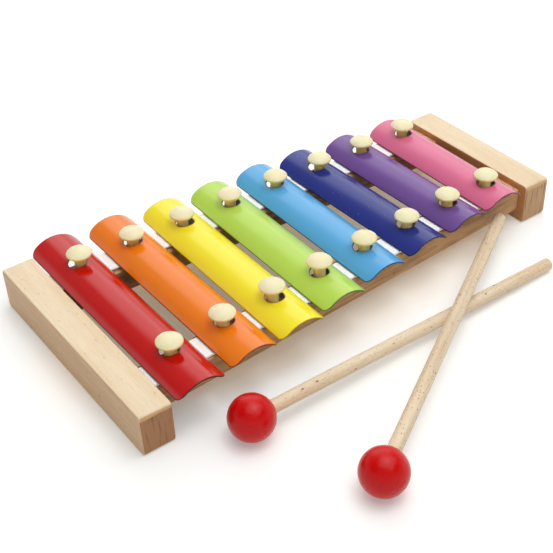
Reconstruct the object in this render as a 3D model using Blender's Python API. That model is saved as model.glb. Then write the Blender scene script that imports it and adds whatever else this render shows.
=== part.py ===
"""Toy xylophone: arched metal bars on felted wooden rails between two end blocks, with two beaters."""
import math

import bmesh
import bpy
from mathutils import Matrix, Vector

MM = 0.001

# Clearances and cutting
fit_gap = 0.3 * MM
cut_overrun = 2 * MM
weld_distance = 0.001 * MM

# End blocks, which are also the feet. The origin is the middle of the long block's foot.
overall_length = 250 * MM
block_width = 15.4 * MM
block_height = 21.3 * MM
long_block_length = 123 * MM
short_block_length = 87 * MM
block_end_round = 1.8 * MM
block_side_round = 0.8 * MM

# Rails, measured as each one's reach from the middle line where it meets a block
rail_width = 16.4 * MM
rail_height = 12 * MM
rail_underside = 6.1 * MM
rail_round = 0.7 * MM
rail_reaches = {
    "front": {"long_end": 39.9 * MM, "short_end": 30.6 * MM},
    "back": {"long_end": 37.9 * MM, "short_end": 29.4 * MM},
}
rail_sides = {"front": -1, "back": 1}

# Dowels hidden in the joints between rails and blocks
dowel_diameter = 5 * MM
dowel_depth = 8 * MM
dowel_chamfer = 0.5 * MM

# Felt strips on the rails, set a little towards the bars' ends
felt_width = 13.4 * MM
felt_thickness = 1.5 * MM
felt_round = 0.4 * MM
felt_outset = 0.9 * MM

# Bars: enamelled sheet, bent to an arch along its whole length, its holes nearer its front end.
# They share the room between the blocks, so their width follows from the gaps.
bar_names = ("red", "orange", "yellow", "green", "sky", "navy", "purple", "pink")
long_block_to_bar = 1.8 * MM
short_block_to_bar = 5.5 * MM
bar_gap = 3.3 * MM
longest_bar = 126.7 * MM
shortest_bar = 91.2 * MM
arch_rise = 5.6 * MM
sheet = 0.8 * MM
bar_corner_round = 3.4 * MM
bar_hole_diameter = 8.8 * MM
bar_back_set = 0.4 * MM

# Each bar lies loose on its pegs, and these shares of its play say how it happens to lie
front_sideways_shares = (0.0, 0.7, 0.25, -0.3, -0.15, 0.25, 0.55, 0.05)
back_sideways_shares = (-0.65, 0.25, 0.5, 0.2, 0.15, -0.6, -0.15, 0.5)
lengthways_shares = (0.5, 0.25, -0.7, -0.35, 0.55, 0.5, 0.0, -0.3)

# Pegs: turned mushrooms, driven into the rails by hand to slightly different depths
peg_stem_diameter = 5.6 * MM
peg_head_diameter = 11.8 * MM
peg_head_height = 3.7 * MM
peg_rim_height = 0.9 * MM
peg_tip_chamfer = 0.6 * MM
peg_depth = 7.5 * MM
bar_lift = 2.3 * MM
peg_stand_spread = 0.9 * MM
peg_stand_shares = {
    "front": (0.3, 0.65, 1.0, 0.9, 0.55, 0.25, 0.35, -0.3),
    "back": (0.6, 0.0, 0.0, 0.2, 0.1, 0.0, 0.0, 0.2),
}

# Beaters: a lacquered ball on a dowel stick, measured from the ball's centre to the stick's end
ball_diameter = 20.3 * MM
stick_diameter = 6.2 * MM
stick_reach = 175 * MM
stick_end_round = 0.9 * MM
stick_bore_depth = 13 * MM

# Where the beaters lie: the lower one's ball from the long block's middle and front end,
# and the end of the upper one's stick from the short block and the front rail
lower_ball_along = 33.5 * MM
lower_ball_past_block = 17 * MM
lower_heading_degrees = 0.4
upper_end_to_block = 19.3 * MM
upper_end_to_rail = 2.5 * MM
upper_heading_degrees = 30.1

# Facets
arch_facets = 14
corner_facets = 4
hole_facets = 24
peg_facets = 20
dome_facets = 5
stick_facets = 20
ball_facets = 28
ball_rows = 12
dowel_facets = 12
edge_facets = 2
felt_edge_facets = 1
sharp_edge_degrees = 35

# Worked out from the sizes above
half_block = block_width / 2
inner_length = overall_length - 2 * block_width
short_block_face = half_block + inner_length
short_block_middle = overall_length - block_width
rail_start = half_block + fit_gap
rail_end = short_block_face - fit_gap
rail_top = rail_underside + rail_height
felt_underside = rail_top + fit_gap
bar_seat = felt_underside + felt_thickness + fit_gap
bar_count = len(bar_names)
bars_room = inner_length - long_block_to_bar - short_block_to_bar
bar_width = (bars_room - (bar_count - 1) * bar_gap) / bar_count
bar_pitch = bar_width + bar_gap
arch_outer_radius = (bar_width ** 2 / 4 + arch_rise ** 2) / (2 * arch_rise)
arch_half_angle = math.asin(bar_width / 2 / arch_outer_radius)
arch_inner_radius = arch_outer_radius - sheet
arch_centre_drop = arch_inner_radius * math.cos(arch_half_angle)
bar_crown = bar_seat + arch_outer_radius - arch_centre_drop
peg_head_underside = bar_crown + fit_gap + bar_lift + peg_stand_spread
peg_foot = rail_top - peg_depth
peg_bore_depth = peg_depth + peg_stand_spread + fit_gap
hole_play = (bar_hole_diameter - peg_stem_diameter) / 2
ball_radius = ball_diameter / 2
stick_radius = stick_diameter / 2


def screen_colour(red, green, blue):
    """A colour as a screen shows it, from 0 to 255, as the linear colour a shader takes."""
    return tuple((value / 255) ** 2.2 for value in (red, green, blue)) + (1.0,)


def finish(name, colour, roughness, metallic=0.0, coat=0.0):
    """One Principled material."""
    material = bpy.data.materials.new(name)
    material.use_nodes = True
    shader = material.node_tree.nodes["Principled BSDF"]
    shader.inputs["Base Color"].default_value = colour
    shader.inputs["Roughness"].default_value = roughness
    shader.inputs["Metallic"].default_value = metallic
    shader.inputs["Coat Weight"].default_value = coat
    material.diffuse_color = colour
    return material


def finishes():
    """Every material of the toy by name."""
    enamel = {
        "red": (199, 24, 24), "orange": (238, 108, 36), "yellow": (250, 226, 36), "green": (160, 208, 58),
        "sky": (66, 158, 220), "navy": (42, 44, 132), "purple": (108, 62, 146), "pink": (222, 108, 146),
    }
    found = {}
    for name in bar_names:
        found[name] = finish(name + "_enamel", screen_colour(*enamel[name]), 0.22, coat=0.6)
    found["block"] = finish("block_beech", screen_colour(226, 196, 152), 0.55)
    found["rail"] = finish("rail_beech", screen_colour(206, 166, 120), 0.6)
    found["dowel"] = finish("dowel_beech", screen_colour(214, 178, 132), 0.6)
    found["felt"] = finish("white_felt", screen_colour(244, 243, 240), 0.95)
    found["peg"] = finish("peg_maple", screen_colour(248, 228, 180), 0.4)
    found["stick"] = finish("stick_beech", screen_colour(224, 194, 150), 0.5)
    found["ball"] = finish("ball_lacquer", screen_colour(204, 20, 24), 0.12, coat=0.8)
    return found


def to_mesh(shape, name):
    """Turns a bmesh into a mesh, with round faces shaded smooth."""
    bmesh.ops.recalc_face_normals(shape, faces=shape.faces)
    mesh = bpy.data.meshes.new(name)
    shape.to_mesh(mesh)
    shape.free()
    mesh.shade_smooth()
    mesh.set_sharp_from_angle(angle=math.radians(sharp_edge_degrees))
    return mesh


def extrude(shape, faces, way):
    """Runs faces along a way into a closed body."""
    run = bmesh.ops.extrude_face_region(shape, geom=faces, use_keep_orig=True)
    moved = [piece for piece in run["geom"] if isinstance(piece, bmesh.types.BMVert)]
    bmesh.ops.translate(shape, verts=moved, vec=way)


def place(name, mesh, material=None, location=(0, 0, 0), parent=None):
    """Links one object that shows the mesh."""
    thing = bpy.data.objects.new(name, mesh)
    thing.location = location
    thing.parent = parent
    if material and not mesh.materials:
        mesh.materials.append(material)
    bpy.context.scene.collection.objects.link(thing)
    return thing


def cut(thing, cutter, operation="DIFFERENCE"):
    """Cuts a thing with a hidden guide body that moves along with it."""
    cutter.hide_render = True
    cutter.display_type = "WIRE"
    cutter.parent = thing
    boolean = thing.modifiers.new(cutter.name, "BOOLEAN")
    boolean.operation = operation
    boolean.solver = "EXACT"
    boolean.object = cutter


def turned(name, profile, facets):
    """A closed turned mesh about Z from (radius, height) points, whose first and last lie on the axis."""
    shape = bmesh.new()
    points = [shape.verts.new((radius, 0, height)) for radius, height in profile]
    edges = [shape.edges.new(pair) for pair in zip(points, points[1:])]
    bmesh.ops.spin(shape, geom=points + edges, cent=(0, 0, 0), axis=(0, 0, 1),
                   angle=math.tau, steps=facets, use_merge=True)
    bmesh.ops.remove_doubles(shape, verts=shape.verts, dist=weld_distance)
    return to_mesh(shape, name)


def arc(radius, start, end, facets, centre=(0, 0)):
    """Points of an arc in a plane, from one angle to the other."""
    steps = [start + (end - start) * step / facets for step in range(facets + 1)]
    return [(centre[0] + radius * math.cos(angle), centre[1] + radius * math.sin(angle)) for angle in steps]


def rounded_rectangle(width, height, corner, facets):
    """The outline of a rectangle about the origin with round corners."""
    outline = []
    for quarter, (side, level) in enumerate(((1, 1), (-1, 1), (-1, -1), (1, -1))):
        centre = (side * (width / 2 - corner), level * (height / 2 - corner))
        start = quarter * math.pi / 2
        outline += arc(corner, start, start + math.pi / 2, facets, centre)
    return outline


def stock(name, outline, length, face_round=0.0):
    """Wood or felt stock: a YZ outline run along X from zero, its end faces' rims rounded if asked."""
    shape = bmesh.new()
    section = shape.faces.new([shape.verts.new((0, y, z)) for y, z in outline])
    extrude(shape, [section], (length, 0, 0))
    if face_round:
        rims = []
        for edge in shape.edges:
            first, second = edge.verts
            if abs(first.co.x - second.co.x) < weld_distance:
                rims.append(edge)
        bmesh.ops.bevel(shape, geom=rims, offset=face_round, segments=edge_facets, profile=0.5,
                        affect="EDGES", clamp_overlap=True)
    return to_mesh(shape, name)


def drills(name, bores, facets):
    """One guide body of separate cylinders, each given as its start, its end and its diameter."""
    shape = bmesh.new()
    for start, end, diameter in bores:
        along = Vector(end) - Vector(start)
        stand = along.to_track_quat("Z", "X").to_matrix().to_4x4()
        middle = Matrix.Translation((Vector(start) + Vector(end)) / 2)
        bmesh.ops.create_cone(shape, cap_ends=True, segments=facets, radius1=diameter / 2,
                              radius2=diameter / 2, depth=along.length, matrix=middle @ stand)
    return place(name, to_mesh(shape, name))


def rail_line(side, along):
    """How far to the front (below zero) or back a rail's middle lies at a place along the toy."""
    reach = rail_reaches[side]
    share = (along - half_block) / inner_length
    return rail_sides[side] * (reach["long_end"] + (reach["short_end"] - reach["long_end"]) * share)


def bar_place(number):
    """How far along the toy a bar's pegs stand."""
    return half_block + long_block_to_bar + bar_width / 2 + number * bar_pitch


def slanted(mesh, side):
    """Slants stock that starts at the rail's start so that it follows the rail's line."""
    slope = (rail_line(side, rail_end) - rail_line(side, rail_start)) / (rail_end - rail_start)
    for vertex in mesh.vertices:
        vertex.co.y += slope * vertex.co.x
    return mesh


def dowel_joints():
    """Where each hidden dowel crosses from a block into a rail, with its name."""
    middle = rail_underside + rail_height / 2
    joints = []
    for side in rail_sides:
        for block, face in (("long", half_block), ("short", short_block_face)):
            joints.append((block, side, Vector((face, rail_line(side, face), middle))))
    return joints


def dowel_bores(wanted):
    """Bores for the dowels in the piece that is asked for, a block's or a rail's name."""
    reach = Vector((dowel_depth + fit_gap, 0, 0))
    bores = []
    for block, side, joint in dowel_joints():
        into_rail = 1 if block == "long" else -1
        if wanted == block:
            start, end = joint - into_rail * reach, joint + into_rail * Vector((cut_overrun, 0, 0))
        elif wanted == side:
            start, end = joint - into_rail * Vector((cut_overrun, 0, 0)), joint + into_rail * reach
        else:
            continue
        bores.append((start, end, dowel_diameter + 2 * fit_gap))
    return bores


def peg_bores(side, bottom, top):
    """Upright bores for every peg of one rail, between two heights."""
    bores = []
    for number in range(bar_count):
        along = bar_place(number)
        across = rail_line(side, along)
        bores.append(((along, across, bottom), (along, across, top), peg_stem_diameter + 2 * fit_gap))
    return bores


def make_blocks(material):
    """The two end blocks, standing on the floor."""
    blocks = (("long", long_block_length, 0), ("short", short_block_length, short_block_middle))
    for block, length, middle in blocks:
        outline = rounded_rectangle(length, block_height, block_end_round, edge_facets)
        mesh = stock(block + "_block", outline, block_width, block_side_round)
        body = place(block + "_block", mesh, material, (middle - half_block, 0, block_height / 2))
        cutter = drills(block + "_block_bores", dowel_bores(block), dowel_facets)
        cutter.location = -body.location
        cut(body, cutter)


def make_rails(material):
    """The two rails between the blocks, bored for pegs and dowels."""
    for side in rail_sides:
        outline = rounded_rectangle(rail_width, rail_height, rail_round, edge_facets)
        mesh = slanted(stock(side + "_rail", outline, rail_end - rail_start), side)
        middle = rail_underside + rail_height / 2
        rail = place(side + "_rail", mesh, material, (rail_start, rail_line(side, rail_start), middle))
        bores = peg_bores(side, rail_top - peg_bore_depth, rail_top + cut_overrun) + dowel_bores(side)
        cutter = drills(side + "_rail_bores", bores, dowel_facets)
        cutter.location = -rail.location
        cut(rail, cutter)


def make_felts(material):
    """A felt strip on each rail, which the pegs pass through."""
    for side in rail_sides:
        outline = rounded_rectangle(felt_width, felt_thickness, felt_round, felt_edge_facets)
        mesh = slanted(stock(side + "_felt", outline, rail_end - rail_start), side)
        across = rail_line(side, rail_start) + rail_sides[side] * felt_outset
        middle = felt_underside + felt_thickness / 2
        felt = place(side + "_felt", mesh, material, (rail_start, across, middle))
        bores = peg_bores(side, felt_underside - cut_overrun, bar_seat + cut_overrun)
        cutter = drills(side + "_felt_holes", bores, dowel_facets)
        cutter.location = -felt.location
        cut(felt, cutter)


def make_dowels(material):
    """The hidden dowels, each half in a block and half in a rail."""
    radius, half = dowel_diameter / 2, dowel_depth
    profile = [(0, -half), (radius - dowel_chamfer, -half), (radius, dowel_chamfer - half),
               (radius, half - dowel_chamfer), (radius - dowel_chamfer, half), (0, half)]
    mesh = turned("dowel", profile, dowel_facets)
    for block, side, joint in dowel_joints():
        dowel = place(side + "_dowel_at_" + block + "_block", mesh, material, joint)
        dowel.rotation_euler = (0, math.pi / 2, 0)


def make_pegs(material):
    """The turned pegs, sixteen of one shape, from the stem's foot up."""
    stem, head = peg_stem_diameter / 2, peg_head_diameter / 2
    under = peg_head_underside - peg_foot
    dome = peg_head_height - peg_rim_height
    profile = [(0, 0), (stem - peg_tip_chamfer, 0), (stem, peg_tip_chamfer), (stem, under),
               (head - peg_rim_height / 2, under)]
    for step in range(dome_facets + 1):
        angle = math.pi / 2 * step / dome_facets
        profile.append((head * math.cos(angle), under + peg_rim_height + dome * math.sin(angle)))
    mesh = turned("peg", profile, peg_facets)
    for side in rail_sides:
        for number, share in enumerate(peg_stand_shares[side]):
            along = bar_place(number)
            stand = peg_foot + share * peg_stand_spread
            place(f"{side}_peg_{bar_names[number]}", mesh, material, (along, rail_line(side, along), stand))


def bar_blank(name, length):
    """Sheet bent to an arch about Y, resting on its long edges at zero height, not yet cut to length."""
    shape = bmesh.new()
    upright = math.pi / 2
    centre = (0, -arch_centre_drop)
    rows = []
    for radius in (arch_outer_radius, arch_inner_radius):
        points = arc(radius, upright + arch_half_angle, upright - arch_half_angle, arch_facets, centre)
        rows.append([shape.verts.new((x, -length / 2 - cut_overrun, z)) for x, z in points])
    outer, inner = rows
    section = [shape.faces.new((outer[step], outer[step + 1], inner[step + 1], inner[step]))
               for step in range(arch_facets)]
    extrude(shape, section, (0, length + 2 * cut_overrun, 0))
    return to_mesh(shape, name)


def bar_plan(length):
    """The bar's outline from above, with round corners, kept clear of its long edges."""
    half_width, half_length = bar_width / 2, length / 2
    centre = (half_width - bar_corner_round, half_length - bar_corner_round)
    corner = [(half_width + cut_overrun, centre[1])]
    corner += arc(bar_corner_round, 0, math.pi / 2, corner_facets, centre)
    outline = []
    for side, end in ((1, -1), (1, 1), (-1, 1), (-1, -1)):
        points = corner if side == end else reversed(corner)
        outline += [(side * x, end * y) for x, y in points]
    return outline


def plan_prism(name, outline, bottom, top):
    """A guide prism from an XY outline, between two heights."""
    shape = bmesh.new()
    plan = shape.faces.new([shape.verts.new((x, y, bottom)) for x, y in outline])
    extrude(shape, [plan], (0, 0, top - bottom))
    return place(name, to_mesh(shape, name))


def make_bars(material):
    """The bars, longest first, each on its own two pegs."""
    step = (longest_bar - shortest_bar) / (bar_count - 1)
    for number, name in enumerate(bar_names):
        length = longest_bar - number * step
        along = bar_place(number)
        front, back = rail_line("front", along), rail_line("back", along)
        middle, spacing = (front + back) / 2, back - front
        front_shift = front_sideways_shares[number] * hole_play
        back_shift = back_sideways_shares[number] * hole_play
        bar = place("bar_" + name, bar_blank("bar_" + name, length), material[name])
        bar.location = (along + (front_shift + back_shift) / 2,
                        middle + bar_back_set + lengthways_shares[number] * hole_play, bar_seat)
        bar.rotation_euler = (0, 0, math.atan2(front_shift - back_shift, spacing))
        bottom, top = -cut_overrun, bar_crown - bar_seat + cut_overrun
        holes = []
        for end in (-1, 1):
            hole = end * spacing / 2 - bar_back_set
            holes.append(((0, hole, bottom), (0, hole, top), bar_hole_diameter))
        cut(bar, drills(f"bar_{name}_holes", holes, hole_facets))
        cut(bar, plan_prism(f"bar_{name}_plan", bar_plan(length), bottom, top), "INTERSECT")


def ball_mesh():
    """A ball about the origin with a blind bore from +Z for the stick."""
    bore_radius = stick_radius + fit_gap
    mouth = math.asin(bore_radius / ball_radius)
    profile = [(0, -ball_radius)]
    for row in range(1, ball_rows + 1):
        angle = math.pi + (mouth - math.pi) * row / ball_rows
        profile.append((ball_radius * math.sin(angle), ball_radius * math.cos(angle)))
    bore_end = ball_radius - stick_bore_depth
    return turned("ball", profile + [(bore_radius, bore_end), (0, bore_end)], ball_facets)


def stick_mesh():
    """The stick along Z, from inside the ball's bore to its rounded far end."""
    start = ball_radius - stick_bore_depth + fit_gap
    inner = stick_radius - stick_end_round
    profile = [(0, start), (stick_radius, start)]
    profile += arc(stick_end_round, 0, math.pi / 2, edge_facets, (inner, stick_reach - stick_end_round))
    return turned("stick", profile + [(0, stick_reach)], stick_facets)


def heading(degrees, rise):
    """The unit direction of a stick that points some degrees from +X towards +Y and rises by an angle."""
    turn = math.radians(degrees)
    return Vector((math.cos(turn) * math.cos(rise), math.sin(turn) * math.cos(rise), math.sin(rise)))


def make_beaters(ball_material, stick_material):
    """The lower beater, whose stick's end touches the floor, and the upper one, which leans on it."""
    lower_ball = Vector((lower_ball_along, -long_block_length / 2 - lower_ball_past_block, ball_radius))
    lower_way = heading(lower_heading_degrees, -math.asin((ball_radius - stick_radius) / stick_reach))
    end_along = short_block_face - upper_end_to_block
    end_across = rail_line("front", end_along) - rail_width / 2 - upper_end_to_rail - stick_radius
    level = heading(upper_heading_degrees, 0)
    upper_ball = Vector((end_along, end_across, ball_radius)) - stick_reach * level
    apart = lower_ball - upper_ball
    run = apart.cross(lower_way).z / level.cross(lower_way).z
    crossing = upper_ball + run * level
    lower_run = (crossing - lower_ball).dot(lower_way)
    lean = (lower_ball + lower_run * lower_way).z + stick_diameter + fit_gap
    upper_way = heading(upper_heading_degrees, math.atan2(lean - ball_radius, run))
    ball, stick = ball_mesh(), stick_mesh()
    for name, middle, way in (("lower", lower_ball, lower_way), ("upper", upper_ball, upper_way)):
        beater = place(name + "_beater", None, location=middle)
        beater.rotation_mode = "QUATERNION"
        beater.rotation_quaternion = way.to_track_quat("Z", "Y")
        place(name + "_beater_ball", ball, ball_material, parent=beater)
        place(name + "_beater_stick", stick, stick_material, parent=beater)


def main():
    for thing in list(bpy.data.objects):
        bpy.data.objects.remove(thing)
    material = finishes()
    make_blocks(material["block"])
    make_rails(material["rail"])
    make_dowels(material["dowel"])
    make_felts(material["felt"])
    make_bars(material)
    make_pegs(material["peg"])
    make_beaters(material["ball"], material["stick"])


main()
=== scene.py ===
"""Looks of the toy xylophone: enamelled bars, beech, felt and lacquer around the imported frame."""
import math

import bmesh
import bpy
import numpy as np
from mathutils import Matrix, Vector


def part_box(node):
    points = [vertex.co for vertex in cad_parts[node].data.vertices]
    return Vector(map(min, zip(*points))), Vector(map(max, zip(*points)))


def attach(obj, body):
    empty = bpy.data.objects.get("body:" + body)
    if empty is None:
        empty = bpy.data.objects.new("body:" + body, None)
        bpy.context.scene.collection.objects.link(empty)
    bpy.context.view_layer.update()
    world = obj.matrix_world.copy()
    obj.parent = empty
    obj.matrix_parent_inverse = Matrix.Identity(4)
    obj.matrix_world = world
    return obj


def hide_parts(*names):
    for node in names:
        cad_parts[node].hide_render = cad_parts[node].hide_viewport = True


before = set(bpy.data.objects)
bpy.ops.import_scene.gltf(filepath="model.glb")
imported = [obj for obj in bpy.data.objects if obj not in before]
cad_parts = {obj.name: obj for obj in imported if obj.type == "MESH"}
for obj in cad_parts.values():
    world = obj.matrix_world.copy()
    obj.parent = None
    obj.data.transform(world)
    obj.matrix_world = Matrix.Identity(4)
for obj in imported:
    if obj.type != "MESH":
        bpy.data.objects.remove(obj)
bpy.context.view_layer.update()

MM = 0.001
tiny = 0.01 * MM
half_pi = math.pi / 2

# Camera, as the photo was taken: its place, its turn from +Y towards +X, its dip and its roll
camera_place = (-136.1 * MM, -340.7 * MM, 324.4 * MM)
camera_turn_degrees = 35.14
camera_dip_degrees = 37.92
camera_roll_degrees = -2.33
camera_lens_mm = 71.3

# Bars, the longest first: the enamel's tone, the darker tone of its uneven patches and of the
# painted shade along its edges, and how strongly dust shows
bar_looks = {
    "red": ((200, 14, 12), (84, 4, 10), 0.05),
    "orange": ((248, 130, 26), (140, 46, 8), 0.05),
    "yellow": ((255, 240, 50), (196, 156, 6), 0.05),
    "green": ((190, 226, 92), (80, 128, 16), 0.05),
    "sky": ((95, 177, 234), (14, 62, 112), 0.05),
    "navy": ((44, 56, 138), (8, 10, 44), 0.5),
    "purple": ((119, 84, 156), (42, 20, 70), 0.3),
    "pink": ((230, 117, 153), (126, 30, 68), 0.05),
}
primer = (50, 40, 36)
dust_tone = (214, 216, 226)
sheet = 0.8 * MM
bar_corner_round = 3.4 * MM
bar_edge_round = 0.22 * MM
bar_rim_width = 0.5 * MM
bar_strip = 0.7 * MM
arch_widest = 4
arch_halvings = 60
level_normal = 0.999

# Pegs
peg_woods = 3
peg_wood_shift = 7.3
peg_turn_degrees = 137.5
peg_stem_diameter = 5.6 * MM
peg_stem_rows = 4
peg_head_height = 3.7 * MM
peg_rim_round = 0.4 * MM
peg_wall_height = 0.95 * MM
peg_slope_height = 0.8 * MM
peg_disc_share = 0.86
peg_edge_soft = 0.25 * MM
peg_top_sink = 0.3 * MM
peg_foot_chamfer = 0.6 * MM
peg_fillet = 0.5 * MM

# Felts
felt_seeds = {"front": 7, "back": 11}
felt_past_bar = {"front": 0.7 * MM, "back": 1.4 * MM}
felt_peg_gap = 0.15 * MM
felt_peg_sink = 0.3 * MM
felt_peg_sink_reach = 1.2 * MM
felt_step = 0.75 * MM
felt_rows = 12
felt_soft_share = 0.42
felt_wave = 0.12 * MM
felt_wave_share = 0.6
felt_nap_share = 0.4
felt_long_wave = 6.1 * MM
felt_short_wave = (2.3 * MM, 1.9 * MM)

# Beaters
stick_diameter = 6.2 * MM
stick_end_round = 0.9 * MM
stick_bore_depth = 13 * MM
stick_rows = 60
stick_waver = 0.035 * MM
stick_wavelengths = (11 * MM, 4.7 * MM)
ball_rows = 48
ball_bore_round = 0.3 * MM
ball_bore_gap = 0.1 * MM
ball_lip_out = 0.3
ball_lip_down = 0.25
ball_shell_share = 0.9

# Shaders: the screen's gamma, and the share of a speck's radius inside which it is full
screen_gamma = 2.2
speck_core = 0.55

# Wood marks: size in mm along the grain, across it and along the rays, the noise's detail and
# roughness, and the two values between which the mark sets in
wood_marks = {
    "figure": ((60, 7, 8), 3.0, 0.5, (0.3, 0.72)),
    "fibres": ((6, 0.3, 0.45), 3.0, 0.6, (0.45, 0.8)),
    "bands": ((90, 1.0, 12), 2.0, 0.5, (0.48, 0.72)),
    "silk": ((1.5, 0.5, 0.6), 2.0, 0.5, (0.55, 0.8)),
    "hearts": ((26, 1.9, 1.7), 2.0, 0.5, (0.35, 0.7)),
    "rings": ((30, 1.2, 15), 2.0, 0.5, (0.5, 0.75)),
}
dash_cell = (8.0, 2.1, 12)
dash_share = 0.11
pore_cell = (0.5, 0.3, 0.3)
pore_fade = (0.32, 0.12)
silk_tone = (1, 0.94, 0.82, 1)
end_silk_fade = (0.6, 0.8)
# how far upright faces turn before they take their painted shade: on both sides, with the figure,
# and on the inner side
flank_turn = (0.55, 0.9)
inner_shade_turn = (0.3, 0.7)

# The lighter strip at the top of the blocks' ends: its lower edge's height, how far figure and silk
# pull that edge down at most, and the heights over it between which the strip sets in
end_lip_height = 19.2 * MM
end_lip_figure = 1.6 * MM
end_lip_silk = 1.2 * MM
end_lip_fade = (1.1 * MM, 1.7 * MM)

# Studio
white = (1, 1, 1, 1)
floor_reach = 3.0
floor_cloud = (0.4, 0.4, 0.4)
floor_tones = ((0.9, 0.9, 0.89, 1), (0.88, 0.88, 0.87, 1))
floor_fade = (0.45, 1.3)
floor_lift = (0.215, 0.225, 0.225, 1)
# painted warm bounce light seen on the floor under the toy: its lift, its reach along X and Y, and
# the scaled distances between which it sets in
floor_painted_bounce = (0.255, 0.2, 0.14, 1)
floor_painted_bounce_reach = (0.15, 0.072)
floor_painted_bounce_fade = (1.0, 0.75)
front_side = (0.5, 0.5, 0.49, 1)
front_side_fade = (-0.35, -0.75)
dim_side = (0.11, 0.105, 0.1, 1)
bright_side = (0.42, 0.41, 0.39, 1)
bright_side_degrees = 38
bright_side_fade = (-0.3, 0.6)
backdrop_heights = (0.5, 0.32)
toy_middle_x = 117 * MM
bar_height = 25 * MM
strip_turn_degrees = 33
strip_rise_degrees = 37
strip_distance = 1.2
strip_outer = (1.4, 0.85)
strip_inner = (0.95, 0.5)
strip_steps = 6
strip_brightness = 1.3
lamp_step = 0.003
top_place = (0.26, -0.17, 1.1)
top_sizes = (1.3, 0.35)
top_brightness = (1.75, 3.1)

# Facets
round_facets = 4
corner_facets = 10
hole_facets = 56
edge_facets = 3
turned_facets = 72
rim_facets = 5
dome_facets = 12
stick_end_facets = 10
punch_facets = 32


# Shader nodes

def feed(tree, socket, value):
    """Gives an input socket a value, or joins it to another node's output."""
    if isinstance(value, bpy.types.NodeSocket):
        tree.links.new(value, socket)
    else:
        socket.default_value = value


def dial(tree, made, **inputs):
    """Feeds a node's inputs. Their names use _ for a space."""
    for name, value in inputs.items():
        feed(tree, made.inputs[name.replace("_", " ")], value)


def node(tree, kind, output=0, settings=(), **inputs):
    """Adds one shader node, feeds its inputs and gives back an output of it."""
    made = tree.nodes.new("ShaderNode" + kind)
    for setting, value in dict(settings).items():
        setattr(made, setting, value)
    dial(tree, made, **inputs)
    return made.outputs[output]


def worked_out(tree, kind, operation, values):
    """The outputs of a maths node, whose inputs are fed in their order."""
    made = tree.nodes.new("ShaderNode" + kind)
    made.operation = operation
    for socket, value in zip(made.inputs, values):
        feed(tree, socket, value)
    return made.outputs


def sums(tree, operation, *values):
    """A maths node on one or more values."""
    return worked_out(tree, "Math", operation, values)[0]


def vector_sums(tree, operation, *values):
    """A vector maths node, which gives a vector, or a number for a dot product or a length."""
    output = "Value" if operation in ("DOT_PRODUCT", "LENGTH") else "Vector"
    return worked_out(tree, "VectorMath", operation, values)[output]


def ramp(tree, value, low, high):
    """A soft step: 0 at low, 1 at high. Low may be the greater."""
    return node(tree, "MapRange", settings={"interpolation_type": "SMOOTHSTEP"}, Value=value,
                From_Min=low, From_Max=high)


def blend(tree, share, first, second):
    """A mix of two colours: the first where the share is 0, the second where it is 1."""
    made = tree.nodes.new("ShaderNodeMix")
    made.data_type = "RGBA"
    for name, value in (("Factor_Float", share), ("A_Color", first), ("B_Color", second)):
        feed(tree, next(socket for socket in made.inputs if socket.identifier == name), value)
    return next(socket for socket in made.outputs if socket.identifier == "Result_Color")


def tint(tree, tone, other, mask, amount):
    """A tone that goes over to another where a mask is 1, as far as the amount."""
    return blend(tree, sums(tree, "MULTIPLY", mask, amount), tone, other)


def heap(tree, height, extra, weight):
    """A height with a share of another one on top."""
    return sums(tree, "ADD", height, sums(tree, "MULTIPLY", extra, weight))


def stretched(tree, sizes, shift=(0, 0, 0)):
    """The object's coordinates in units of a size of its own for each axis."""
    place = node(tree, "TexCoord", "Object")
    scaled = vector_sums(tree, "DIVIDE", place, sizes)
    return vector_sums(tree, "ADD", scaled, shift)


def noise(tree, sizes, detail=2.0, roughness=0.5, shift=(0, 0, 0)):
    """Noise from 0 to 1 whose blots have those sizes."""
    return node(tree, "TexNoise", Vector=stretched(tree, sizes, shift), Scale=1.0, Detail=detail,
                Roughness=roughness)


def cells(tree, sizes, shift=(0, 0, 0), feature="F1"):
    """The distance from the middle of an uneven cell of those sizes, or from its edge."""
    return node(tree, "TexVoronoi", "Distance", settings={"feature": feature},
                Vector=stretched(tree, sizes, shift), Scale=1.0)


def specks(tree, sizes, share, shift=(0, 0, 0)):
    """Scattered specks, one to a cell of those sizes: 1 in a speck and 0 outside."""
    return ramp(tree, cells(tree, sizes, shift), share, share * speck_core)


def marked(tree, name):
    """The value from 0 to 1 that a mesh keeps on its points under a name."""
    return node(tree, "Attribute", "Fac", settings={"attribute_name": name})


def colour(red, green, blue):
    """A colour as a screen shows it, from 0 to 255, as the linear colour that a shader takes."""
    return tuple((value / 255) ** screen_gamma for value in (red, green, blue)) + (1.0,)


def in_mm(*sizes):
    """Sizes in mm as metres."""
    return tuple(size * MM for size in sizes)


def new_material(name):
    """A node material, with its node tree and its Principled shader."""
    material = bpy.data.materials.new(name)
    material.use_nodes = True
    return material, material.node_tree, material.node_tree.nodes["Principled BSDF"]


def roughened(tree, shader, unevenness, spread, base):
    """Sets a shader's roughness to a base, and up to the spread more where the unevenness is 1."""
    dial(tree, shader, Roughness=sums(tree, "MULTIPLY_ADD", unevenness, spread, base))


def bumped(tree, shader, height, distance):
    """Bumps a shader's surface by a height from 0 to 1."""
    dial(tree, shader, Normal=node(tree, "Bump", Height=height, Distance=distance, Strength=1.0))


# Materials

def grain_sizes(axis, along, across, rays):
    """Sizes in mm for the axes: along the grain, along the rays (Z, or X for upright grain), and
    across both."""
    sizes = [across * MM] * 3
    sizes[axis] = along * MM
    sizes[0 if axis == 2 else 2] = rays * MM
    return tuple(sizes)


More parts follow.
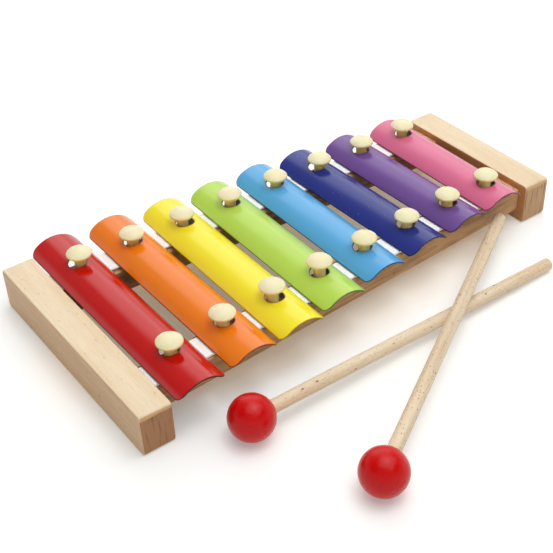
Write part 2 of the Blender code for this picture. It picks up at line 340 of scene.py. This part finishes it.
def wood(name, grain_axis, pale, deep, fleck, end_tone, shaded_flank=None, inner=None, roughness=0.5,
         flecks=0.5, dashes=0.8, streaks=0.1, silk=0.25, rings=0.6, end_turn=(0.62, 0.92),
         fleck_cell=(3.4, 1.1, 6), fleck_share=0.14, flank_figure=0.16, end_deep=None,
         end_lip=None, shift=0.0):
    """Beech or maple: broad figure, fine fibres, pale silk, sparse dark dashes, streaked end grain.

    shaded_flank is the tone of the upright faces along the grain: a darker tone that is painted
    shade, with the dark figure of another cut of the wood on it. The inner tone is a darker tone
    still, painted shade on the upright face on one side, where the parts shade it: the side's sign
    along X, and its tone. Flecks are short and stand one to a cell, whose size is in mm along the
    grain, across it and along the rays; a fleck fills its share of the cell. End_deep is the tone
    of the streaks in the end grain, or else the flecks' tone. The end lip is a lighter strip at the
    top of the end grain: its lower edge's height, and its tone. Flecks, dashes, streaks, silk,
    rings and flank_figure say from 0 to 1 how strongly each shows.
    """
    material, tree, shader = new_material(name)
    away = (shift, shift, shift)
    normal = node(tree, "TexCoord", "Normal")

    def sizes(along, across, rays):
        return grain_sizes(grain_axis, along, across, rays)

    def mark(kind):
        size, detail, grit, fade = wood_marks[kind]
        field = noise(tree, sizes(*size), detail, grit, away)
        return field, ramp(tree, field, *fade)

    def facing(axis):
        way = tuple(1.0 if number == axis else 0.0 for number in range(3))
        return sums(tree, "ABSOLUTE", vector_sums(tree, "DOT_PRODUCT", normal, way))

    figure, broad_figure = mark("figure")
    fibres, dark_fibres = mark("fibres")
    silky, pale_silk = mark("silk")
    short_flecks = specks(tree, sizes(*fleck_cell), fleck_share, away)
    long_dashes = specks(tree, sizes(*dash_cell), dash_share, away)
    tone = blend(tree, broad_figure, pale, deep)
    # painted shade on the upright faces, darker still on the inner side
    if shaded_flank:
        cut = shaded_flank
        if inner:
            side, inner_shade_tone = inner
            towards = vector_sums(tree, "DOT_PRODUCT", normal, (side, 0, 0))
            cut = blend(tree, ramp(tree, towards, *inner_shade_turn), shaded_flank, inner_shade_tone)
        figured_shaded_side = tint(tree, cut, fleck, mark("hearts")[1], flank_figure)
        tone = blend(tree, ramp(tree, facing(1 - grain_axis), *flank_turn), tone, figured_shaded_side)
    tone = tint(tree, tone, fleck, mark("bands")[1], streaks)
    tone = tint(tree, tone, fleck, dark_fibres, amount=0.16)
    tone = tint(tree, tone, silk_tone, pale_silk, silk)

    end_wood = tint(tree, end_tone, end_deep or fleck, mark("rings")[1], rings)
    if end_lip:
        lip_height, lip_tone = end_lip
        height = node(tree, "SeparateXYZ", "Z", Vector=node(tree, "TexCoord", "Object"))
        ragged = sums(tree, "MULTIPLY_ADD", figure, end_lip_figure, height)
        torn = sums(tree, "MULTIPLY_ADD", silky, end_lip_silk, ragged)
        low, high = (lip_height + over for over in end_lip_fade)
        end_wood = blend(tree, ramp(tree, torn, low, high), end_wood, lip_tone)
    end_wood = tint(tree, end_wood, pale, ramp(tree, silky, *end_silk_fade), silk)
    end = ramp(tree, facing(grain_axis), *end_turn)
    tone = blend(tree, end, tone, end_wood)
    tone = tint(tree, tone, fleck, short_flecks, flecks)
    tone = tint(tree, tone, fleck, long_dashes, dashes)
    pores = ramp(tree, cells(tree, sizes(*pore_cell), away), *pore_fade)
    open_pores = sums(tree, "MULTIPLY", pores, end)
    tone = tint(tree, tone, fleck, open_pores, amount=0.3)
    dial(tree, shader, Base_Color=tone)
    roughened(tree, shader, fibres, spread=0.2, base=roughness - 0.1)
    dents = sums(tree, "ADD", long_dashes, sums(tree, "ADD", short_flecks, open_pores))
    bumped(tree, shader, heap(tree, fibres, dents, weight=-0.8), distance=0.03 * MM)
    return material


def enamel(name, face, edge, dusty):
    """Stoved enamel on sheet metal: glossy, faintly uneven and dusty, with painted shade along its
    edges, and dark primer underneath."""
    material, tree, shader = new_material(name)
    cloud = noise(tree, in_mm(14, 22, 14), detail=3.0)
    dust = specks(tree, in_mm(3.1, 3.7, 3.1), share=0.06)
    # painted shade: the rim mark turns the sheet's rounded edges over to the darker edge tone
    rim = ramp(tree, marked(tree, "rim"), low=0.25, high=0.95)
    tone = tint(tree, face, edge, cloud, amount=0.12)
    tone = tint(tree, tone, colour(*dust_tone), dust, dusty)
    tone = tint(tree, tone, edge, rim, amount=0.85)
    dial(tree, shader, Base_Color=blend(tree, marked(tree, "below"), tone, colour(*primer)))
    rubbed = noise(tree, in_mm(2.2, 30, 2.2), detail=4.0)
    roughened(tree, shader, rubbed, spread=0.07, base=0.11)
    peel = noise(tree, in_mm(1.6, 1.9, 1.6), detail=1.0)
    waves = noise(tree, in_mm(9, 17, 9), detail=1.0)
    height = heap(tree, heap(tree, waves, peel, weight=0.1), dust, weight=0.25)
    bumped(tree, shader, height, distance=0.05 * MM)
    return material


def lacquer(name, face, deep):
    """Sprayed red lacquer on a turned ball."""
    material, tree, shader = new_material(name)
    cloud = noise(tree, in_mm(6, 6, 6), detail=3.0)
    grain = noise(tree, in_mm(0.5, 0.5, 6))
    dust = specks(tree, in_mm(2.6, 2.6, 2.6), share=0.05)
    tone = tint(tree, face, deep, cloud, amount=0.3)
    tone = tint(tree, tone, deep, ramp(tree, grain, low=0.5, high=0.8), amount=0.12)
    dial(tree, shader, Base_Color=tone, Specular_IOR_Level=0.27)
    roughened(tree, shader, cloud, spread=0.08, base=0.24)
    height = heap(tree, heap(tree, cloud, grain, weight=0.06), dust, weight=0.12)
    bumped(tree, shader, height, distance=0.06 * MM)
    return material


def felt_cloth(name, face, shade):
    """Pressed white felt: matted fibres with a soft nap."""
    material, tree, shader = new_material(name)
    mat = noise(tree, in_mm(0.35, 0.35, 0.35), detail=4.0, roughness=0.7)
    cloud = noise(tree, in_mm(5, 3, 3))
    hairs = cells(tree, in_mm(0.5, 0.35, 0.4), feature="DISTANCE_TO_EDGE")
    tone = tint(tree, face, shade, ramp(tree, mat, low=0.35, high=0.75), amount=0.35)
    tone = tint(tree, tone, shade, cloud, amount=0.2)
    dial(tree, shader, Base_Color=tone, Roughness=0.95, Sheen_Weight=0.35,
         Specular_IOR_Level=0.2)
    bumped(tree, shader, heap(tree, mat, hairs, weight=0.6), distance=0.06 * MM)
    return material


# Mesh helpers

def placed(name, data, matrix=Matrix.Identity(4)):
    """Puts a mesh, a lamp or a camera in the scene."""
    thing = bpy.data.objects.new(name, data)
    bpy.context.scene.collection.objects.link(thing)
    thing.matrix_world = matrix
    return thing


def piece(name, mesh, material, body, replaced, matrix=Matrix.Identity(4)):
    """Puts a finished mesh in the scene on a body, in place of its CAD node."""
    mesh.materials.clear()
    mesh.materials.append(material)
    thing = placed(name, mesh, matrix)
    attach(thing, body)
    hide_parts(replaced)
    return thing


def mesh_from(shape, name):
    """A new mesh with a bmesh's faces. The bmesh is freed."""
    mesh = bpy.data.meshes.new(name)
    shape.to_mesh(mesh)
    shape.free()
    return mesh


def skin(shape, loops):
    """Adds the faces between each closed loop of points and the next."""
    for first, second in zip(loops, loops[1:]):
        for step in range(len(first)):
            beside = (step + 1) % len(first)
            shape.faces.new((first[step], first[beside], second[beside], second[step]))


def box_middle(node_name):
    """The middle of a CAD node's box."""
    low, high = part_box(node_name)
    return (low + high) / 2


def arc(radius, start, end, facets, centre):
    """Points of an arc in a plane, from one angle to the other."""
    steps = [start + (end - start) * step / facets for step in range(facets + 1)]
    return [(centre[0] + radius * math.cos(angle), centre[1] + radius * math.sin(angle))
            for angle in steps]


def rounded(before, corner, after, reach):
    """Points that round a profile's corner, within a reach of it on both sides."""
    corner = np.array(corner)
    start, end = (corner + (point - corner) * reach / np.linalg.norm(point - corner)
                  for point in (np.array(before), np.array(after)))
    shares = [step / round_facets for step in range(round_facets + 1)]
    return [tuple(start * (1 - share) ** 2 + corner * 2 * share * (1 - share) + end * share ** 2)
            for share in shares]


def turned(name, profile):
    """A closed turned mesh about Z from (radius, height) points, with the first and last on the
    axis."""
    shape = bmesh.new()
    angles = [math.tau * step / turned_facets for step in range(turned_facets)]
    rings = [[shape.verts.new((radius * math.cos(angle), radius * math.sin(angle), height))
              for angle in angles] for radius, height in profile[1:-1]]
    skin(shape, rings)
    for ring, (_, height) in ((rings[0], profile[0]), (rings[-1], profile[-1])):
        pole = shape.verts.new((0, 0, height))
        for step in range(turned_facets):
            shape.faces.new((ring[step], ring[(step + 1) % turned_facets], pole))
    bmesh.ops.recalc_face_normals(shape, faces=shape.faces)
    mesh = mesh_from(shape, name)
    mesh.shade_smooth()
    return mesh


# Bars

def bar_facts(node_name):
    """A bar's place and sizes, from its CAD node's crown line and the holes' edges on it."""
    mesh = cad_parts[node_name].data
    points = np.array([vertex.co for vertex in mesh.vertices], float)
    crown = points[:, 2].max()
    line = points[points[:, 2] > crown - tiny]
    line = line[np.argsort(line[:, 1])]
    keep = np.append(True, np.diff(line[:, 1]) > tiny)
    front, *hole_edges, back = [Vector(point) for point in line[keep]]
    holes = [(hole_edges[step] + hole_edges[step + 1]) / 2 for step in (0, 2)]
    middle = (front + back) / 2
    way = (back - front).normalized()
    square = Vector((way.y, -way.x, 0))
    reach = max(abs((Vector(point) - middle).dot(square)) for point in points)
    return {"middle": middle, "way": way, "length": (back - front).length,
            "holes": [(hole - middle).dot(way) for hole in holes],
            "hole_width": (hole_edges[1] - hole_edges[0]).length,
            "half_width": reach, "rise": crown - points[:, 2].min()}


def flat_plate(contours, levels):
    """A flat pierced sheet. A contour gives its points for an inset, and a level is inset, height
    and rim share, the share of painted edge shade that the level's points take."""
    shape = bmesh.new()
    rim = shape.verts.layers.float.new("rim")
    below = shape.verts.layers.float.new("below")
    tops, bottoms = [], []
    for contour in contours:
        loops = []
        for inset, height, share in levels:
            loop = [shape.verts.new((x, y, height)) for x, y in contour(inset)]
            for vertex in loop:
                vertex[rim] = share
                vertex[below] = 1.0 if height < -sheet / 2 else 0.0
            loops.append(loop)
        skin(shape, loops)
        for loop, ends in ((loops[0], tops), (loops[-1], bottoms)):
            ends += [shape.edges.get((loop[step - 1], loop[step])) for step in range(len(loop))]
    for ends, side in ((tops, 1), (bottoms, -1)):
        bmesh.ops.triangle_fill(shape, edges=ends, use_beauty=True, normal=(0, 0, side))
    bmesh.ops.recalc_face_normals(shape, faces=shape.faces)
    return shape


def arch_radius(half_width, rise):
    """The outer radius of the arch whose inner corners lie on the felt, found by halving."""
    low, high = half_width, half_width * arch_widest
    for _ in range(arch_halvings):
        radius = (low + high) / 2
        inner_drop = radius - (radius - sheet) * math.sqrt(1 - (half_width / radius) ** 2)
        if inner_drop > rise:
            low = radius
        else:
            high = radius
    return radius


def bent_bar(name, facts):
    """A bar's mesh in its own frame, with Y along the bar and the crown line through the origin.

    It is made flat, cut in narrow strips along the bar, and then bent with its normals.
    """
    half_width = facts["half_width"]
    half_length = facts["length"] / 2
    radius = arch_radius(half_width, facts["rise"])

    def unrolled(x):
        return radius * math.asin(x / (radius - bar_edge_round))

    def outline(inset):
        centre = (half_width - bar_corner_round, half_length - bar_corner_round)
        quarter = arc(bar_corner_round - inset, 0, half_pi, corner_facets, centre)
        points = []
        for side, end in ((1, -1), (1, 1), (-1, 1), (-1, -1)):
            corner = quarter if side == end else reversed(quarter)
            points += [(unrolled(side * x), end * y) for x, y in corner]
        return points

    def hole(along):
        def ring(inset):
            edge = arc(facts["hole_width"] / 2 + inset, 0, math.tau, hole_facets, (0, along))
            return [(unrolled(x), y) for x, y in edge[:-1]]
        return ring

    turns = [half_pi * step / edge_facets for step in range(edge_facets + 1)]
    # the rounded edge's levels get a rim share of 1, which the enamel paints with shade
    levels = [(bar_rim_width, 0.0, 0.0)]
    levels += [(bar_edge_round * (1 - math.sin(turn)), -bar_edge_round * (1 - math.cos(turn)), 1.0)
               for turn in turns]
    levels += [(inset, -sheet - height, share) for inset, height, share in reversed(levels)]
    shape = flat_plate([outline] + [hole(along) for along in facts["holes"]], levels)
    flat_half = unrolled(half_width)
    cuts = int(2 * flat_half / bar_strip)
    for step in range(1, cuts):
        across = -flat_half + 2 * flat_half * step / cuts
        everything = shape.verts[:] + shape.edges[:] + shape.faces[:]
        bmesh.ops.bisect_plane(shape, geom=everything, dist=tiny / 4, plane_co=(across, 0, 0),
                               plane_no=(1, 0, 0))
    bmesh.ops.triangulate(shape, faces=[face for face in shape.faces if len(face.verts) > 4])
    bmesh.ops.recalc_face_normals(shape, faces=shape.faces)
    shape.normal_update()
    # points of the flat faces keep a flat normal, also next to the rounded edges
    level = {}
    for face in shape.faces:
        if abs(face.normal.z) > level_normal:
            for vertex in face.verts:
                level[vertex.index] = Vector((0, 0, math.copysign(1, face.normal.z)))
    shape.verts.index_update()
    normals = []
    for vertex in shape.verts:
        flat_normal = level.get(vertex.index, vertex.normal)
        turn = vertex.co.x / radius
        out = radius + vertex.co.z
        normals.append(Matrix.Rotation(turn, 3, "Y") @ flat_normal)
        vertex.co = Vector((out * math.sin(turn), vertex.co.y, out * math.cos(turn) - radius))
    plate = mesh_from(shape, name)
    plate.shade_smooth()
    plate.normals_split_custom_set_from_vertices(normals)
    return plate


def make_bars():
    """The eight enamelled bars, each on its own body."""
    # edge is the darker tone of the enamel's uneven patches and of its painted edge shade
    for name, (face, edge, dusty) in bar_looks.items():
        node_name = "bar_" + name
        facts = bar_facts(node_name)
        mesh = bent_bar(name + "_bar_sheet", facts)
        turn = math.atan2(facts["way"].y, facts["way"].x) - half_pi
        place = Matrix.Translation(facts["middle"]) @ Matrix.Rotation(turn, 4, "Z")
        paint = enamel(name + "_enamel_paint", colour(*face), colour(*edge), dusty)
        piece(name + "_bar_sheet", mesh, paint, name + "_bar", node_name, place)


# Pegs

def peg_mesh(name, height, head_radius):
    """A turned mushroom peg from its foot at zero height: stem, flat underside, wall, sloping rim
    and low dome."""
    stem = peg_stem_diameter / 2
    under = height - peg_head_height
    top = height - peg_top_sink
    profile = [(0, 0), (stem - peg_foot_chamfer, 0), (stem, peg_foot_chamfer)]
    profile += [(stem, under * step / peg_stem_rows) for step in range(1, peg_stem_rows)]
    profile += arc(peg_fillet, math.pi, half_pi, round_facets,
                   (stem + peg_fillet, under - peg_fillet))
    profile += arc(peg_rim_round, -half_pi, 0, rim_facets,
                   (head_radius - peg_rim_round, under + peg_rim_round))
    disc = head_radius * peg_disc_share
    edge = head_radius, under + peg_wall_height
    shoulder = disc, edge[1] + peg_slope_height
    rise = top - shoulder[1]
    dome_radius = (disc ** 2 + rise ** 2) / (2 * rise)
    start = math.acos(disc / dome_radius)
    dome = arc(dome_radius, start, half_pi, dome_facets, (0, top - dome_radius))
    profile += rounded(profile[-1], edge, shoulder, peg_edge_soft)
    profile += rounded(edge, shoulder, dome[2], peg_edge_soft * 2)
    return turned(name, profile + dome[2:-1] + [(0, top)])


def make_pegs():
    """The sixteen pegs on the rails, of a few woods, each turned its own way."""
    maples = []
    for kind in range(peg_woods):
        # the ochre side tone of the rims and stems, against the cream tone on top, is painted shade
        # warmed like light bounced off the bars
        maple = wood("peg_maple_" + str(kind), 2, colour(255, 230, 154), colour(252, 216, 134),
                     colour(222, 174, 106), colour(252, 240, 200), roughness=0.46, flecks=0.1,
                     dashes=0.0, streaks=0.06, silk=0.08, rings=0.1, end_turn=(0.4, 0.75),
                     shift=kind * peg_wood_shift)
        tree = maple.node_tree
        dial(tree, tree.nodes["Principled BSDF"], Subsurface_Weight=0.6,
             Subsurface_Radius=(1.0, 0.5, 0.2), Subsurface_Scale=2.0 * MM)
        maples.append(maple)
    for number, name in enumerate(bar_looks):
        for side, lag in (("front", 0), ("back", 1)):
            node_name = f"{side}_peg_{name}"
            low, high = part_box(node_name)
            mesh = peg_mesh(node_name + "_turned", high.z - low.z, (high.x - low.x) / 2)
            middle = (low + high) / 2
            turn = math.radians(peg_turn_degrees) * (2 * number + lag)
            foot = Matrix.Translation((middle.x, middle.y, low.z))
            mesh.transform(foot @ Matrix.Rotation(turn, 4, "Z"))
            maple = maples[(number + 2 * lag) % peg_woods]
            piece(node_name + "_turned", mesh, maple, "frame", node_name)


# Felts

def rail_slope(side):
    """How far a rail, and the felt on it, moves sideways for each metre along the toy."""
    first, last = (box_middle(f"{side}_peg_{name}") for name in ("red", "pink"))
    return (last.y - first.y) / (last.x - first.x)


def felt_outline(width, thick):
    """A felt's section about its middle, with soft corners."""
    soft = thick * felt_soft_share
    run = width - 2 * soft
    outline = []
    for quarter, (out, up) in enumerate(((1, 1), (-1, 1), (-1, -1), (1, -1))):
        centre = (out * (width / 2 - soft), up * (thick / 2 - soft))
        outline += arc(soft, quarter * half_pi, (quarter + 1) * half_pi, round_facets, centre)
        if quarter in (0, 2):
            outline += [(out * (run / 2 - run * step / felt_rows), up * thick / 2)
                        for step in range(1, felt_rows)]
    return outline


def felt_sinks(points, side, pegs):
    """How far each point of a felt's top lies below its full height: waves, nap and the pegs'
    dents."""
    nap = np.random.default_rng(felt_seeds[side]).random(len(points))
    x, y = points[:, 0], points[:, 1]
    long_wave = 0.25 * np.sin(x / felt_long_wave)
    short_wave = 0.25 * np.sin(x / felt_short_wave[0] + y / felt_short_wave[1])
    wave = 0.5 + long_wave + short_wave
    sink = felt_wave * (felt_wave_share * wave + felt_nap_share * nap)
    for peg in pegs:
        off_stem = np.hypot(x - peg.x, y - peg.y) - peg_stem_diameter / 2
        sink += felt_peg_sink * np.exp(-(off_stem / felt_peg_sink_reach) ** 2)
    return sink


def felt_mesh(name, side, pegs):
    """A strip of felt with soft edges and an uneven nap, pressed down a little round each peg."""
    low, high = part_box(side + "_felt")
    slope = rail_slope(side)
    width = (high.y - low.y) - abs(slope) * (high.x - low.x)
    middle_y = (low.y if slope > 0 else high.y - width) + width / 2
    middle_z = (low.z + high.z) / 2
    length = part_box("bar_pink")[1].x + felt_past_bar[side] - low.x
    steps = int(length / felt_step)
    outline = felt_outline(width, high.z - low.z)
    shape = bmesh.new()
    rings = []
    for step in range(steps + 1):
        x = low.x + length * step / steps
        rings.append([shape.verts.new((x, middle_y + slope * (x - low.x) + y, middle_z + z))
                      for y, z in outline])
    skin(shape, rings)
    shape.faces.new(list(reversed(rings[0])))
    shape.faces.new(rings[-1])
    bmesh.ops.recalc_face_normals(shape, faces=shape.faces)
    mesh = mesh_from(shape, name)
    points = np.array([vertex.co for vertex in mesh.vertices])
    top = points[:, 2] > middle_z
    points[top, 2] -= felt_sinks(points, side, pegs)[top]
    for vertex, point in zip(mesh.vertices, points):
        vertex.co = point
    mesh.shade_smooth()
    return mesh


def pierce(strip, side, pegs):
    """Cuts the pegs' holes in a felt strip, and merges the slivers that the cut leaves."""
    low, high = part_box(side + "_felt")
    radius = peg_stem_diameter / 2 + felt_peg_gap
    shape = bmesh.new()
    for peg in pegs:
        place = Matrix.Translation((peg.x, peg.y, (low.z + high.z) / 2))
        bmesh.ops.create_cone(shape, cap_ends=True, segments=punch_facets, radius1=radius,
                              radius2=radius, depth=(high.z - low.z) * 3, matrix=place)
    punch = placed(side + "_felt_punch", mesh_from(shape, side + "_felt_punch"))
    cut = strip.modifiers.new("peg_holes", "BOOLEAN")
    cut.object = punch
    cut.operation = "DIFFERENCE"
    cut.solver = "EXACT"
    bpy.context.view_layer.update()
    graph = bpy.context.evaluated_depsgraph_get()
    pierced = bpy.data.meshes.new_from_object(strip.evaluated_get(graph))
    strip.modifiers.clear()
    shape = bmesh.new()
    shape.from_mesh(pierced)
    bmesh.ops.triangulate(shape, faces=shape.faces[:])
    bmesh.ops.remove_doubles(shape, verts=shape.verts[:], dist=tiny)
    bmesh.ops.dissolve_degenerate(shape, edges=shape.edges[:], dist=tiny)
    shape.to_mesh(pierced)
    shape.free()
    strip.data = pierced
    bpy.data.objects.remove(punch)


def make_felts():
    """A felt strip on each rail, pierced by the pegs."""
    cloth = felt_cloth("white_felt_nap", colour(255, 255, 255), colour(238, 237, 234))
    for side in ("front", "back"):
        pegs = [box_middle(f"{side}_peg_{name}") for name in bar_looks]
        name = side + "_felt_strip"
        mesh = felt_mesh(name, side, pegs)
        strip = piece(name, mesh, cloth, "frame", side + "_felt")
        pierce(strip, side, pegs)


# Beaters

def corner_points(node_name):
    """A CAD node's corners, each once."""
    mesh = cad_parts[node_name].data
    points = np.array([vertex.co for vertex in mesh.vertices], float)
    return np.unique(points.round(7), axis=0)


def beater_frame(which):
    """A beater's ball centre, the way from it along the stick, how far the stick reaches and where
    it starts along that way, and the ball's radius."""
    points = corner_points(which + "_beater_stick")
    way = np.linalg.svd(points - points.mean(axis=0))[2][0]
    way = way if way[0] > 0 else -way
    shell = corner_points(which + "_beater_ball")
    away = np.linalg.norm(shell - shell.mean(axis=0), axis=1)
    shell = shell[away > ball_shell_share * away.max()]
    # a sphere through the shell: |p|^2 = 2 p.c + (r^2 - |c|^2)
    sides = np.c_[2 * shell, np.ones(len(shell))]
    answer = np.linalg.lstsq(sides, (shell ** 2).sum(axis=1), rcond=None)[0]
    centre = answer[:3]
    radius = math.sqrt(answer[3] + centre @ centre)
    along = (points - centre) @ way
    return Vector(centre), Vector(way), float(along.max()), float(along.min()), radius


def ball_mesh(name, radius):
    """A lacquered ball about the origin with a blind bore from +Z, its mouth softly rounded."""
    bore = stick_diameter / 2 + ball_bore_gap
    mouth = math.asin(bore / radius) + ball_bore_round / radius
    profile = [(0, -radius)]
    for row in range(1, ball_rows + 1):
        angle = math.pi + (mouth - math.pi) * row / ball_rows
        profile.append((radius * math.sin(angle), radius * math.cos(angle)))
    lip = profile[-1][1]
    floor = radius - stick_bore_depth
    profile += [(bore + ball_bore_round * ball_lip_out, lip - ball_bore_round * ball_lip_down),
                (bore, lip - ball_bore_round), (bore, floor), (0, floor)]
    return turned(name, profile)


def stick_mesh(name, start, reach):
    """A sanded dowel along Z with a rounded far end, very slightly out of true."""
    radius = stick_diameter / 2
    profile = [(0, start), (radius, start)]
    for step in range(1, stick_rows):
        along = start + (reach - stick_end_round - start) * step / stick_rows
        waver = stick_waver
        for wavelength in stick_wavelengths:
            waver *= math.sin(along / wavelength)
        profile.append((radius - stick_waver + waver, along))
    profile += arc(stick_end_round, 0, half_pi, stick_end_facets,
                   (radius - stick_end_round, reach - stick_end_round))
    return turned(name, profile + [(0, reach)])


def make_beaters():
    """Both beaters, each ball and stick on its own body."""
    red = lacquer("ball_red_lacquer", colour(212, 4, 6), colour(182, 2, 4))
    for which, flecks, shift in (("lower", 0.5, 1.1), ("upper", 0.85, 4.8)):
        middle, way, reach, start, radius = beater_frame(which)
        stand = Matrix.Translation(middle) @ way.to_track_quat("Z", "Y").to_matrix().to_4x4()
        beech = wood(which + "_stick_wood", 2, colour(241, 222, 191), colour(231, 202, 165),
                     colour(112, 72, 44), colour(216, 182, 142), roughness=0.46, flecks=flecks,
                     streaks=0.2, silk=0.5, fleck_cell=(2.8, 0.85, 0.85), fleck_share=0.21,
                     shift=shift)
        body = which + "_beater"
        ball_name, stick_name = body + "_ball", body + "_stick"
        ball, stick = ball_mesh(ball_name, radius), stick_mesh(stick_name, start, reach)
        piece(ball_name + "_lacquered", ball, red, body, ball_name, stand)
        piece(stick_name + "_dowel", stick, beech, body, stick_name, stand)


# Wooden CAD nodes

def dress(node_name, material, smooth_degrees=60):
    """Gives a CAD node its material and lets its rounded edges shade softly."""
    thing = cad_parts[node_name]
    thing.data.materials.clear()
    thing.data.materials.append(material)
    weld = thing.modifiers.new("weld", "WELD")
    weld.merge_threshold = tiny
    thing.data.shade_smooth()
    thing.data.set_sharp_from_angle(angle=math.radians(smooth_degrees))
    even = thing.modifiers.new("even_shading", "WEIGHTED_NORMAL")
    even.keep_sharp = True


def make_woodwork():
    """Blocks, rails and hidden dowels keep their CAD solids."""
    for node_name, side, end_tone in (("long_block", 1, (172, 121, 78)),
                                      ("short_block", -1, (195, 153, 108))):
        # shaded_flank and the inner tone are painted shade on the upright faces, the inner tone
        # where the block faces the bars
        block = wood(node_name + "_wood", 1, colour(243, 224, 190), colour(236, 210, 172),
                     colour(146, 98, 60), colour(*end_tone), shaded_flank=colour(224, 184, 140),
                     inner=(side, colour(200, 140, 87)), flecks=0.2, dashes=0.5, streaks=0.07,
                     rings=0.75, end_deep=colour(96, 60, 36),
                     end_lip=(end_lip_height, colour(214, 172, 122)))
        dress(node_name, block)
    # shaded_flank is painted shade on the rails' upright faces
    rails = wood("rail_beech_wood", 0, colour(226, 180, 124), colour(206, 156, 100),
                 colour(116, 74, 42), colour(176, 132, 88), shaded_flank=colour(214, 166, 114),
                 roughness=0.6, flecks=0.4, dashes=0.6, streaks=0.45, silk=0.15,
                 flank_figure=0.5)
    dowels = wood("dowel_beech_wood", 0, colour(220, 188, 142), colour(206, 170, 124),
                  colour(140, 98, 60), colour(190, 150, 108), roughness=0.6)
    for side in ("front", "back"):
        dress(side + "_rail", rails)
        for block in ("long", "short"):
            dress(f"{side}_dowel_at_{block}_block", dowels, smooth_degrees=30)


# Studio

def seeing_rays(tree):
    """1 for a ray that sees the background: from the camera, in a reflection or through glass."""
    rays = tree.nodes.new("ShaderNodeLightPath").outputs
    mirrored = sums(tree, "MAXIMUM", rays["Is Glossy Ray"], rays["Is Transmission Ray"])
    return sums(tree, "MAXIMUM", rays["Is Camera Ray"], mirrored)


def make_floor():
    """A plain white floor that keeps the toy's shadow. It is seen a little lighter than lit, with
    painted warm bounce light under the toy, and white far from it."""
    shape = bmesh.new()
    bmesh.ops.create_grid(shape, x_segments=1, y_segments=1, size=floor_reach)
    floor = placed("studio_floor", mesh_from(shape, "studio_floor"))
    material, tree, shader = new_material("studio_floor_white")
    away = vector_sums(tree, "LENGTH", node(tree, "TexCoord", "Object"))
    reach_x, reach_y = floor_painted_bounce_reach
    from_toy = stretched(tree, (reach_x, reach_y, 1), (-toy_middle_x / reach_x, 0, 0))
    # painted warm bounce light, seen only, on the floor under the toy
    painted_bounce_share = ramp(tree, vector_sums(tree, "LENGTH", from_toy), *floor_painted_bounce_fade)
    lift = blend(tree, painted_bounce_share, floor_lift, floor_painted_bounce)
    lift = blend(tree, ramp(tree, away, *floor_fade), lift, white)
    dial(tree, shader, Base_Color=blend(tree, noise(tree, floor_cloud), *floor_tones),
         Roughness=0.9, Specular_IOR_Level=0.1, Emission_Color=lift,
         Emission_Strength=seeing_rays(tree))
    floor.data.materials.append(material)


def make_world():
    """A dim room, brighter behind the toy and in front of it, whose backdrop all round is seen as
    white up to the backdrop's height."""
    world = bpy.data.worlds.new("white_room")
    bpy.context.scene.world = world
    world.use_nodes = True
    tree = world.node_tree
    tree.nodes.clear()
    way = node(tree, "TexCoord", "Generated")
    turn = math.radians(bright_side_degrees)
    behind = vector_sums(tree, "DOT_PRODUCT", way, (math.sin(turn), math.cos(turn), 0))
    room = blend(tree, ramp(tree, behind, *bright_side_fade), dim_side, bright_side)
    room = blend(tree, ramp(tree, behind, *front_side_fade), room, front_side)
    backdrop = ramp(tree, node(tree, "SeparateXYZ", "Z", Vector=way), *backdrop_heights)
    seen = tint(tree, room, white, seeing_rays(tree), backdrop)
    out = tree.nodes.new("ShaderNodeOutputWorld")
    dial(tree, out, Surface=node(tree, "Background", Color=seen, Strength=1.0))


def soft_box(name, place, target, width, depth, brightness):
    """One rectangular lamp that faces a target; its brightness is that of its own face, where
    white paper is 1."""
    lamp = bpy.data.lights.new(name, "AREA")
    lamp.shape = "RECTANGLE"
    lamp.size, lamp.size_y = width, depth
    lamp.energy = brightness * width * depth * math.pi
    facing = (Vector(target) - Vector(place)).to_track_quat("-Z", "Y").to_matrix().to_4x4()
    placed(name, lamp, Matrix.Translation(place) @ facing)


def make_lamps():
    """A soft-edged strip of boxes behind the toy, and two boxes above it."""
    middle = Vector((toy_middle_x, 0, bar_height))
    turn, rise = math.radians(strip_turn_degrees), math.radians(strip_rise_degrees)
    way = Vector((math.cos(rise) * math.sin(turn), math.cos(rise) * math.cos(turn),
                  math.sin(rise)))
    for step in range(strip_steps):
        share = step / (strip_steps - 1)
        width, depth = (outer + (inner - outer) * share
                        for outer, inner in zip(strip_outer, strip_inner))
        # a ray counts only one of two lamps in the same plane, so each stands a step nearer
        place = middle + way * (strip_distance - step * lamp_step)
        soft_box(f"back_strip_{step}", place, middle, width, depth,
                 strip_brightness / strip_steps)
    for number, (width, brightness) in enumerate(zip(top_sizes, top_brightness)):
        place = Vector(top_place) * (1 - number * lamp_step)
        soft_box(f"top_box_{number}", place, middle, width, width, brightness)


def make_camera():
    """The photo's camera, and the photo's plain view of tones."""
    lens = bpy.data.cameras.new("photo_camera")
    lens.lens = camera_lens_mm
    turn = Matrix.Rotation(-math.radians(camera_turn_degrees), 4, "Z")
    dip = Matrix.Rotation(half_pi - math.radians(camera_dip_degrees), 4, "X")
    roll = Matrix.Rotation(math.radians(camera_roll_degrees), 4, "Z")
    stand = Matrix.Translation(camera_place) @ turn @ dip @ roll
    bpy.context.scene.camera = placed("photo_camera", lens, stand)
    bpy.context.scene.view_settings.view_transform = "Standard"


make_woodwork()
make_bars()
make_pegs()
make_felts()
make_beaters()
make_floor()
make_world()
make_lamps()
make_camera()
